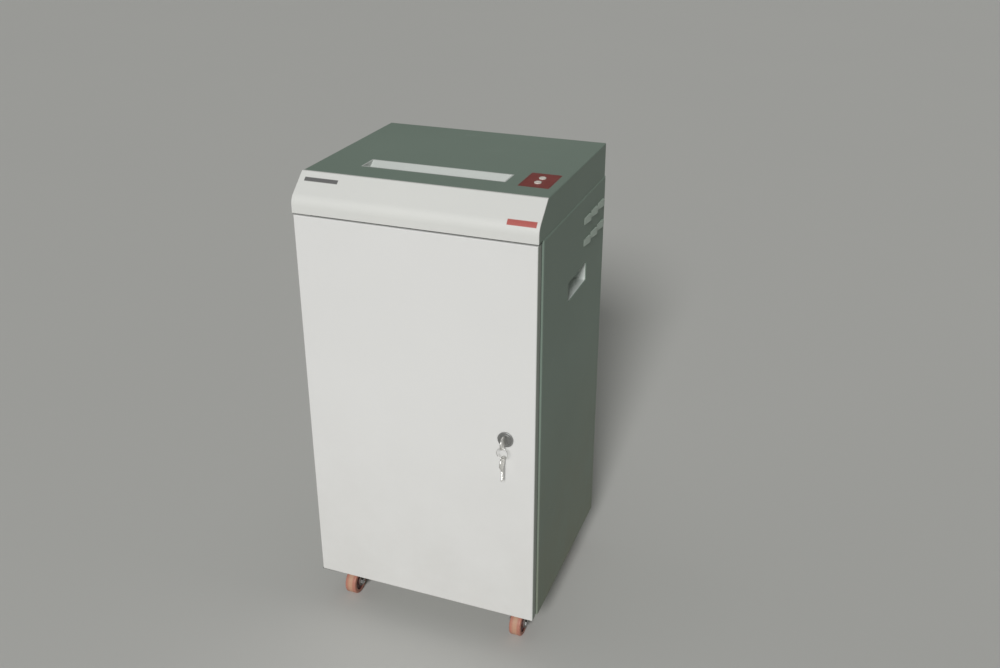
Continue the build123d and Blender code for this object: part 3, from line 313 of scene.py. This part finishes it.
def printedFilm(name, colour, shade, edge, middle, half):
    # printed colour under a clear film, with a darker rim line a little inside the edge
    paint = Paint(name)
    x, y, z = paint.axes()
    fromSide = half[0] - (x - middle[0]).absolute()
    fromEnd = half[1] - (y - middle[1]).absolute()
    inset = paint.add("ShaderNodeMath", {"operation": "MINIMUM"}, {0: fromSide, 1: fromEnd})
    rim = (inset - filmLook["border"]).absolute().below(filmLook["line"], 0.0002)
    ink = paint.noise(2600.0, 2.0)
    cloud = paint.noise(50.0, 3.0)
    tone = paint.mix((ink * 0.4 + cloud * 0.6).clamped(), colour, shade)
    tone = paint.mix(rim, tone, edge)
    roughness = 0.34 + (ink - 0.5) * 0.10 + (cloud - 0.5) * 0.14
    normal = paint.bump(ink, 0.00002, 0.3)
    return paint.finish(Base_Color=tone, Roughness=roughness.clamped(), Normal=normal,
                        Coat_Weight=0.05)


# low corner, high corner (x and z) and colour of the plain printed strips
fasciaMarks = (
    ((0.160, 0.8225), (0.208, 0.8300), (0.46, 0.070, 0.055)),
    ((-0.203, 0.8455), (-0.142, 0.8505), (0.10, 0.10, 0.10)),
)
plateLow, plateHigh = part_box("control_plate")
plateMiddle = (plateLow + plateHigh) / 2
plateHalf = (plateHigh - plateLow) / 2

finishes = {
    # the door's right-hand edge faces get painted shade, darkened towards the body colour
    "door_paint": powderCoat("doorPaint", (0.80, 0.795, 0.78), (0.775, 0.77, 0.755), 0.46,
                            edge=(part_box("door_panel")[1].x - 0.0007, (0.30, 0.33, 0.29))),
    "fascia_paint": powderCoat("fasciaPaint", (0.745, 0.745, 0.715), (0.72, 0.72, 0.695), 0.46,
                               marks=fasciaMarks),
    "liner_paint": powderCoat("linerPaint", (0.66, 0.66, 0.64), (0.62, 0.62, 0.60), 0.50),
    # the brown towards the floor on the body paint is a painted reflection of a brown floor
    "body_paint": powderCoat("bodyPaint", (0.228, 0.291, 0.243), (0.204, 0.264, 0.219), 0.52,
                             (0.275, 0.245, 0.160), 0.20),
    "zinc_steel": platedSteel("zincSteel", (0.58, 0.58, 0.57), (0.50, 0.51, 0.51)),
    "fork_steel": powderCoat("forkEnamel", (0.040, 0.026, 0.022), (0.055, 0.038, 0.032), 0.34),
    "throat_plastic": mouldedPlastic("throatPlastic", (0.64, 0.67, 0.64), (0.60, 0.63, 0.60)),
    # the cup plastic above 0.690 m gets painted shade
    "cup_plastic": mouldedPlastic("cupPlastic", (0.66, 0.70, 0.67), (0.61, 0.65, 0.62),
                                  paintedShadeAbove=(0.690, (0.40, 0.47, 0.41))),
    "bin_plastic": mouldedPlastic("binPlastic", (0.045, 0.047, 0.052), (0.03, 0.032, 0.036), 0.5,
                                  900.0, 0.00008),
    "dark_plastic": mouldedPlastic("darkPlastic", (0.022, 0.022, 0.024), (0.035, 0.035, 0.036)),
    "plate_red": printedFilm("plateFilm", (0.27, 0.016, 0.006), (0.21, 0.012, 0.005),
                             (0.12, 0.008, 0.006), plateMiddle, plateHalf),
    "button_white": mouldedPlastic("buttonPlastic", (0.78, 0.74, 0.68), (0.72, 0.68, 0.62), 0.26),
    "cutter_steel": groundSteel("cutterSteel", (0.50, 0.50, 0.50), (0.36, 0.36, 0.37)),
    "comb_steel": groundSteel("combSteel", (0.55, 0.55, 0.54), (0.42, 0.42, 0.42), 0.34),
    "bearing_bronze": groundSteel("bearingBronze", (0.55, 0.34, 0.13), (0.40, 0.24, 0.09), 0.3),
    "motor_paint": powderCoat("motorEnamel", (0.018, 0.021, 0.028), (0.028, 0.031, 0.038), 0.36),
    "board_green": circuitBoard("boardMask", (0.012, 0.10, 0.035), (0.02, 0.16, 0.06),
                                (0.60, 0.48, 0.22), 0.6181),
    "capacitor_can": groundSteel("capacitorCan", (0.66, 0.67, 0.68), (0.55, 0.56, 0.58), 0.3,
                                 (500.0, 500.0, 6.0)),
    "lock_chrome": polishedMetal("lockChrome", (0.46, 0.46, 0.45), (0.34, 0.34, 0.34), 0.34, 0.2),
    "key_nickel": polishedMetal("keyNickel", (0.84, 0.83, 0.80), (0.70, 0.69, 0.66), 0.36),
    "magnet": mouldedPlastic("ferrite", (0.03, 0.03, 0.032), (0.05, 0.048, 0.045), 0.6),
    "wheel_tyre": castUrethane("wheelTyre", (0.60, 0.205, 0.125), (0.52, 0.17, 0.105),
                               (0.34, 0.24, 0.17)),
}

for entry in frame["record"]["subparts"]:
    target = nodes[entry["node"]]
    target.data.materials.clear()
    target.data.materials.append(finishes[entry["material_slot"]])
print("finishes made:", len(finishes))


# ---- detailed pieces ----

def deselect():
    bpy.ops.object.select_all(action="DESELECT")


def begin(primitive, name, **settings):
    # a new mesh from one of Blender's starting shapes, left in edit mode with everything selected
    deselect()
    getattr(bpy.ops.mesh, primitive)(**settings)
    piece = bpy.context.object
    piece.name = name
    bpy.ops.object.mode_set(mode="EDIT")
    bpy.ops.mesh.select_all(action="SELECT")
    return piece


def beginTurned(primitive, name, turn, **settings):
    # the same, with the shape's turn applied to its mesh
    piece = begin(primitive, name, rotation=turn, **settings)
    bpy.ops.object.mode_set(mode="OBJECT")
    bpy.ops.object.transform_apply(location=False, rotation=True, scale=False)
    bpy.ops.object.mode_set(mode="EDIT")
    return piece


def copyOf(node, name):
    # a piece that starts from a CAD node's own shape
    deselect()
    nodes[node].select_set(True)
    bpy.context.view_layer.objects.active = nodes[node]
    bpy.ops.object.duplicate()
    piece = bpy.context.object
    piece.name = name
    bpy.ops.object.parent_clear(type="CLEAR_KEEP_TRANSFORM")
    for key in list(piece.keys()):
        del piece[key]
    piece.data.materials.clear()
    return piece


def choose(piece, kind, test):
    # selects the faces or edges of the piece in edit mode for which test is true
    bpy.ops.object.mode_set(mode="OBJECT")
    for group in (piece.data.vertices, piece.data.edges, piece.data.polygons):
        group.foreach_set("select", [False] * len(group))
    if kind == "FACE":
        for face in piece.data.polygons:
            face.select = test(face.center, face.normal)
    else:
        for edge in piece.data.edges:
            edge.select = all(test(piece.data.vertices[corner].co) for corner in edge.vertices)
    bpy.ops.object.mode_set(mode="EDIT")
    bpy.ops.mesh.select_mode(type=kind)


def change(piece, kind, **settings):
    # adds a modifier and applies it
    deselect()
    piece.select_set(True)
    bpy.context.view_layer.objects.active = piece
    modifier = piece.modifiers.new(kind.lower(), kind)
    for key, value in settings.items():
        setattr(modifier, key, value)
    bpy.ops.object.modifier_apply(modifier=modifier.name)


def close(piece, paint, smooth=38.0):
    # back to object mode with outward normals, smooth curves and the piece's finish
    if bpy.context.mode != "OBJECT":
        bpy.ops.mesh.select_all(action="SELECT")
        bpy.ops.mesh.normals_make_consistent(inside=False)
        bpy.ops.object.mode_set(mode="OBJECT")
    deselect()
    piece.select_set(True)
    bpy.context.view_layer.objects.active = piece
    bpy.ops.object.shade_smooth_by_angle(angle=radians(smooth))
    piece.data.materials.clear()
    piece.data.materials.append(paint)
    return piece


def copies(piece, places, name, turn=None):
    # copies with a mesh of their own, one at each place
    made = []
    for number, place in enumerate(places):
        twin = piece.copy()
        twin.data = piece.data.copy()
        twin.name = f"{name}{number + 1}"
        bpy.context.scene.collection.objects.link(twin)
        twin.location = place
        if turn is not None:
            twin.rotation_euler = turn
        made.append(twin)
    return made


tiny = 0.00001

# castor wheels: a tread with rounded shoulders on a dished hub with a bearing boss
wheelLook = {
    "radius": 0.0249, "width": 0.022, "sides": 96,
    "edge": 0.0034, "edgeSteps": 6, "roundness": 0.6,
    "rimInset": 0.0075, "dish": 0.0022, "dishSlope": 0.0006,
    "bossInset": 0.0085, "bossFoot": 0.0004, "bossRise": 0.0026, "bossSlope": 0.0005,
    "band": 0.0042,           # half width of the lighter tan band round the middle of the tread
    "treadDepth": 0.0030,
}


def castorTyre(name):
    paint = Paint(name)
    x, y, z = paint.axes()
    spoke = paint.add("ShaderNodeCombineXYZ", None, {"X": 0.0, "Y": y, "Z": z})
    radius = paint.add("ShaderNodeVectorMath", {"operation": "LENGTH"}, {0: spoke}, "Value")
    across = x.absolute()
    tread = radius.above(wheelLook["radius"] - wheelLook["treadDepth"], 0.0010)
    rim = radius.above(wheelLook["radius"] - wheelLook["rimInset"], 0.0004)
    tanBand = tread * across.below(wheelLook["band"], 0.0018)
    cloud = paint.noise(90.0, 4.0, 0.6)
    grit = paint.noise(520.0, 4.0, 0.75).above(0.60, 0.06)
    pits = paint.cells(1500.0)
    tone = paint.mix(cloud.above(0.5, 0.2), (0.50, 0.205, 0.145), (0.42, 0.17, 0.12))
    tone = paint.mix(tanBand * (0.35 + cloud * 0.4), tone, (0.58, 0.40, 0.26))
    # painted shade: inside the rim the wheel's sides take a dark maroon, a shaded copy of the tread's
    # red
    tone = paint.mix(rim, paint.mix(cloud, (0.13, 0.036, 0.034), (0.09, 0.026, 0.026)), tone)
    tone = paint.mix(grit * 0.35, tone, (0.30, 0.22, 0.16))
    normal = paint.bump(pits, 0.00005, 0.4)
    normal = paint.bump(grit, 0.00006, 0.5, normal)
    return paint.finish(Base_Color=tone, Roughness=(0.50 + (cloud - 0.5) * 0.2 + grit * 0.2).clamped(),
                        Normal=normal)


wheelPaint = castorTyre("castorTyre")
wheel = beginTurned("primitive_cylinder_add", "castorTyre", (0, pi / 2, 0),
                    vertices=wheelLook["sides"], radius=wheelLook["radius"],
                    depth=wheelLook["width"])
for side in (-1, 1):
    choose(wheel, "EDGE", lambda place: place.x * side > wheelLook["width"] / 2 - tiny)
    bpy.ops.mesh.bevel(offset=wheelLook["edge"], segments=wheelLook["edgeSteps"],
                       profile=wheelLook["roundness"], affect="EDGES")
choose(wheel, "FACE", lambda middle, normal: abs(middle.x) > wheelLook["width"] / 2 - tiny * 10
       and middle.yz.length < tiny * 10)
bpy.ops.mesh.inset(thickness=wheelLook["rimInset"] - wheelLook["edge"], use_individual=True)
bpy.ops.mesh.inset(thickness=wheelLook["dishSlope"], depth=-wheelLook["dish"], use_individual=True)
bpy.ops.mesh.inset(thickness=wheelLook["bossInset"], depth=wheelLook["bossFoot"],
                   use_individual=True)
bpy.ops.mesh.inset(thickness=wheelLook["bossSlope"], depth=wheelLook["bossRise"],
                   use_individual=True)
close(wheel, wheelPaint, 30.0)

# axle nuts on both ends of every axle, a hexagon with a domed end
nutLook = {"radius": 0.0062, "depth": 0.0032, "edge": 0.0007, "flat": 0.0021, "dome": 0.0012,
           "domeSlope": 0.0008, "tip": 0.0012, "sunk": 0.62}
nut = beginTurned("primitive_cylinder_add", "axleNut", (0, pi / 2, 0), vertices=6,
                  radius=nutLook["radius"], depth=nutLook["depth"])
choose(nut, "FACE", lambda middle, normal: normal.x > 0.9)
bpy.ops.mesh.inset(thickness=nutLook["flat"], depth=nutLook["edge"])
bpy.ops.mesh.inset(thickness=nutLook["domeSlope"], depth=nutLook["dome"])
bpy.ops.mesh.inset(thickness=nutLook["tip"], depth=nutLook["dome"] / 3)
choose(nut, "FACE", lambda middle, normal: normal.x < -0.9)
bpy.ops.mesh.inset(thickness=nutLook["tip"], depth=nutLook["edge"])
close(nut, finishes["zinc_steel"], 30.0)

for corner in ("front_left", "front_right", "rear_left", "rear_right"):
    low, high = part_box(f"{corner}_castor_wheel")
    axle = (low + high) / 2
    forkLow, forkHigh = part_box(f"{corner}_castor_fork")
    for twin in copies(wheel, [axle], f"{corner}Tyre"):
        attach(twin, f"{corner}_wheel")
        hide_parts(f"{corner}_castor_wheel")
    reach = (forkHigh.x - forkLow.x) / 2 - nutLook["depth"] * nutLook["sunk"]
    for side in (-1, 1):
        for twin in copies(nut, [axle + Vector((side * reach, 0, 0))], f"{corner}Nut{side + 2}",
                           (0, 0, 0 if side > 0 else pi)):
            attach(twin, f"{corner}_fork")
for pattern in (wheel, nut):
    bpy.data.objects.remove(pattern)
print("castors detailed")

# push buttons with a dished top and a rounded edge
buttonLook = {"radius": 0.0060, "edge": 0.0007, "rim": 0.0009, "slope": 0.0007, "dish": 0.0005}
for node in ("forward_button", "reverse_button"):
    low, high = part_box(node)
    top = (high.z - low.z) / 2 - tiny
    cap = begin("primitive_cylinder_add", node.replace("_button", "Cap"), vertices=64,
                radius=buttonLook["radius"], depth=high.z - low.z)
    choose(cap, "EDGE", lambda place: place.z > top)
    bpy.ops.mesh.bevel(offset=buttonLook["edge"], segments=4, affect="EDGES")
    choose(cap, "FACE", lambda middle, normal: normal.z > 0.99 and middle.z > top
           and middle.xy.length < tiny * 10)
    bpy.ops.mesh.inset(thickness=buttonLook["rim"])
    bpy.ops.mesh.inset(thickness=buttonLook["slope"], depth=-buttonLook["dish"])
    close(cap, finishes["button_white"], 40.0)
    cap.location = (low + high) / 2
    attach(cap, node)
    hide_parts(node)
print("buttons detailed")

# lock: a raised trim ring round the plug
lockLow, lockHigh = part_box("lock_barrel")
plugLow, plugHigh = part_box("lock_plug")
lockMiddle = (plugLow + plugHigh) / 2
trimLook = {"ring": 0.0098, "thickness": 0.0007, "flatness": 0.8, "lip": 0.0001}
trim = begin("primitive_torus_add", "lockTrim", major_radius=trimLook["ring"],
             minor_radius=trimLook["thickness"], major_segments=72, minor_segments=12,
             rotation=(pi / 2, 0, 0))
bpy.ops.transform.resize(value=(1, trimLook["flatness"], 1), center_override=(0, 0, 0))
choose(trim, "FACE", lambda middle, normal: normal.y < -0.85)
bpy.ops.mesh.inset(thickness=trimLook["lip"], depth=-trimLook["lip"])
close(trim, finishes["lock_chrome"], 60.0)
trim.location = (lockMiddle.x, lockLow.y, lockMiddle.z)
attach(trim, "door")

# keys: rounded edges, a groove along the blade and cut bitting on the one that hangs free
keyLook = {
    "edge": 0.00035,
    "teeth": (0.0010, 0.0018, 0.0006, 0.0014, 0.0008),     # depth of each cut
    "cutMargin": 0.0008, "cutWidth": 0.006, "cutSide": 0.004, "firstCut": 0.0045, "cutStep": 0.0034,
    "groove": 0.0009, "grooveLength": 0.024, "grooveOut": 0.0016, "grooveSide": 0.0008,
    "grooveUp": 0.010,
}
for node, body in (("key", "lock"), ("spare_key", "spare_key")):
    low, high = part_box(node)
    blank = copyOf(node, node.replace("_key", "Key").replace("key", "lockKey"))
    bpy.ops.object.mode_set(mode="EDIT")
    bpy.ops.mesh.select_all(action="SELECT")
    bpy.ops.mesh.remove_doubles(threshold=0.00001)
    bpy.ops.mesh.dissolve_limited(angle_limit=radians(2))
    bpy.ops.object.mode_set(mode="OBJECT")
    middle = (low + high) / 2
    cutters = []
    if node == "spare_key":
        for number, depth in enumerate(keyLook["teeth"]):
            place = Vector((middle.x, middle.y - keyLook["cutSide"],
                            low.z + keyLook["firstCut"] + number * keyLook["cutStep"]))
            cutter = begin("primitive_cylinder_add", "tooth", vertices=4,
                           radius=depth + keyLook["cutMargin"], depth=keyLook["cutWidth"],
                           location=place, rotation=(0, pi / 2, 0))
            cutters.append(close(cutter, finishes["key_nickel"]))
        for side in (-1, 1):
            place = Vector((middle.x + side * keyLook["grooveOut"],
                            middle.y + keyLook["grooveSide"], low.z + keyLook["grooveUp"]))
            cutter = begin("primitive_cylinder_add", "groove", vertices=16,
                           radius=keyLook["groove"], depth=keyLook["grooveLength"],
                           location=place)
            cutters.append(close(cutter, finishes["key_nickel"]))
    for cutter in cutters:
        change(blank, "BOOLEAN", object=cutter, operation="DIFFERENCE", solver="EXACT")
        bpy.data.objects.remove(cutter)
    change(blank, "BEVEL", width=keyLook["edge"], segments=2, limit_method="ANGLE",
           angle_limit=radians(50))
    close(blank, finishes["key_nickel"], 40.0)
    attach(blank, body)
    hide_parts(node)

# split key ring: two flat coils side by side
ringLow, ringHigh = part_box("key_ring")
ringMiddle = (ringLow + ringHigh) / 2
ringLook = {"wire": 0.00042, "apart": 0.00036, "width": 0.00075, "flatness": 0.9,
            "endAngle": 0.5, "endSpread": 0.05, "pinch": 0.6, "pinchReach": 0.004}
ringRadius = (ringHigh.x - ringLow.x) / 2 - ringLook["width"]
coils = []
for side in (-1, 1):
    coil = begin("primitive_torus_add", "ringCoil", major_radius=ringRadius,
                 minor_radius=ringLook["wire"], major_segments=96, minor_segments=10,
                 rotation=(pi / 2, 0, 0))
    bpy.ops.transform.resize(value=(1.0, ringLook["flatness"], 1.0), center_override=(0, 0, 0))
    end = ringLook["endAngle"] * side
    choose(coil, "FACE", lambda middle, normal:
           abs(atan2(middle.z, middle.x) - end) < ringLook["endSpread"])
    bpy.ops.transform.translate(value=(0, -side * ringLook["apart"] * ringLook["pinch"], 0),
                                use_proportional_edit=True, proportional_edit_falloff="SMOOTH",
                                proportional_size=ringLook["pinchReach"])
    close(coil, finishes["key_nickel"], 60.0)
    coil.location = ringMiddle + Vector((0, side * ringLook["apart"], 0))
    coils.append(coil)
deselect()
for coil in coils:
    coil.select_set(True)
bpy.context.view_layer.objects.active = coils[0]
bpy.ops.object.join()
splitRing = bpy.context.object
splitRing.name = "splitRing"
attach(splitRing, "key_ring")
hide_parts("key_ring")
print("lock and keys detailed")

# pan-head screws with a cross recess, holding the cover over the cutting unit
screwLook = {"radius": 0.0036, "rise": 0.0018, "dome": 0.7, "cross": 0.0008, "crossLength": 1.3,
             "crossLift": 0.75, "fromEdge": 0.011, "sunk": 0.0003, "columns": 3}
screw = beginTurned("primitive_cylinder_add", "panelScrew", (pi / 2, 0, 0), vertices=32,
                    radius=screwLook["radius"], depth=screwLook["rise"])
choose(screw, "EDGE", lambda place: place.y > screwLook["rise"] / 2 - tiny)
bpy.ops.mesh.bevel(offset=screwLook["rise"] * screwLook["dome"], segments=5, affect="EDGES")
bpy.ops.object.mode_set(mode="OBJECT")
for turn in (0, pi / 2):
    bar = begin("primitive_cube_add", "cross", size=1.0, rotation=(0, turn, 0))
    bpy.ops.transform.resize(value=(screwLook["radius"] * screwLook["crossLength"],
                                    screwLook["rise"], screwLook["cross"]), orient_type="LOCAL")
    close(bar, finishes["zinc_steel"])
    bar.location = (0, screwLook["rise"] * screwLook["crossLift"], 0)
    change(screw, "BOOLEAN", object=bar, operation="DIFFERENCE", solver="EXACT")
    bpy.data.objects.remove(bar)
close(screw, finishes["zinc_steel"], 35.0)
coverLow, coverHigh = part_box("mechanism_cover")
inset = screwLook["fromEdge"]
step = (coverHigh.x - coverLow.x - 2 * inset) / (screwLook["columns"] - 1)
places = [Vector((coverLow.x + inset + column * step,
                  coverLow.y - screwLook["rise"] / 2 + screwLook["sunk"], row))
          for column in range(screwLook["columns"]) for row in (coverLow.z + inset, coverHigh.z - inset)]
for twin in copies(screw, places, "coverScrew", (0, 0, pi)):
    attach(twin, "cabinet")
bpy.data.objects.remove(screw)
print("cover screws set:", len(places))

# ---- floor, camera and light ----

stageLook = {
    "floorSide": 60.0, "floorDrop": 0.0004,
    "floorColour": (0.60, 0.595, 0.57), "floorShade": (0.585, 0.58, 0.56),
    "skyColour": (0.90, 1.0, 0.90), "skyStrength": 0.07,
}
deselect()
bpy.ops.mesh.primitive_plane_add(size=stageLook["floorSide"],
                                 location=(0, 0, -stageLook["floorDrop"]))
floor = bpy.context.object
floor.name = "studioFloor"
floorPaint = Paint("floorPaint")
floorCloud = floorPaint.noise(0.8, 3.0)
floor.data.materials.append(floorPaint.finish(
    Base_Color=floorPaint.mix(floorCloud, stageLook["floorColour"], stageLook["floorShade"]),
    Roughness=0.75))

world = bpy.data.worlds.new("studioWorld")
bpy.context.scene.world = world
world.use_nodes = True
sky = world.node_tree.nodes["Background"]
sky.inputs["Color"].default_value = (*stageLook["skyColour"], 1)
sky.inputs["Strength"].default_value = stageLook["skyStrength"]
bpy.context.scene.view_settings.view_transform = "Standard"

doorLow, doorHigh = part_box("door_panel")
cameraLook = {
    "side": 0.6725, "ahead": 1.3953, "above": 1.2828,   # from the middle of the door's bottom edge
    "turn": 21.10, "tilt": 65.73, "roll": -0.26,
    "lens": 37.475, "shiftX": 0.0100, "shiftY": -0.0284,
}
cameraData = bpy.data.cameras.new("studioCamera")
camera = bpy.data.objects.new("studioCamera", cameraData)
bpy.context.scene.collection.objects.link(camera)
cameraData.sensor_width = 36.0
cameraData.lens = cameraLook["lens"]
cameraData.shift_x = cameraLook["shiftX"]
cameraData.shift_y = cameraLook["shiftY"]
cameraData.clip_end = 100.0
camera.matrix_world = (
    Matrix.Translation((cameraLook["side"], doorLow.y - cameraLook["ahead"],
                        doorLow.z + cameraLook["above"]))
    @ Matrix.Rotation(radians(cameraLook["turn"]), 4, "Z")
    @ Matrix.Rotation(radians(cameraLook["tilt"]), 4, "X")
    @ Matrix.Rotation(radians(cameraLook["roll"]), 4, "Z"))
bpy.context.scene.camera = camera

# soft suns: where they stand round the object and above it, in degrees
lights = {
    "keyLight": {"azimuth": 9.0, "height": 31.0, "spread": 14.0, "strength": 2.3},
    "topLight": {"azimuth": 0.0, "height": 86.0, "spread": 50.0, "strength": 0.26},
    "leftFill": {"azimuth": -72.0, "height": 16.0, "spread": 60.0, "strength": 0.25},
    "backFill": {"azimuth": 178.0, "height": 9.0, "spread": 60.0, "strength": 0.15},
}
for lightName, look in lights.items():
    lightData = bpy.data.lights.new(lightName, "SUN")
    lightData.angle = radians(look["spread"])
    lightData.energy = look["strength"]
    light = bpy.data.objects.new(lightName, lightData)
    bpy.context.scene.collection.objects.link(light)
    around, up = radians(look["azimuth"]), radians(look["height"])
    away = Vector((sin(around) * cos(up), -cos(around) * cos(up), sin(up)))
    light.location = (cadLow + cadHigh) / 2 + away * 4
    light.rotation_euler = away.to_track_quat("Z", "Y").to_euler()
print("stage, camera and lights set")
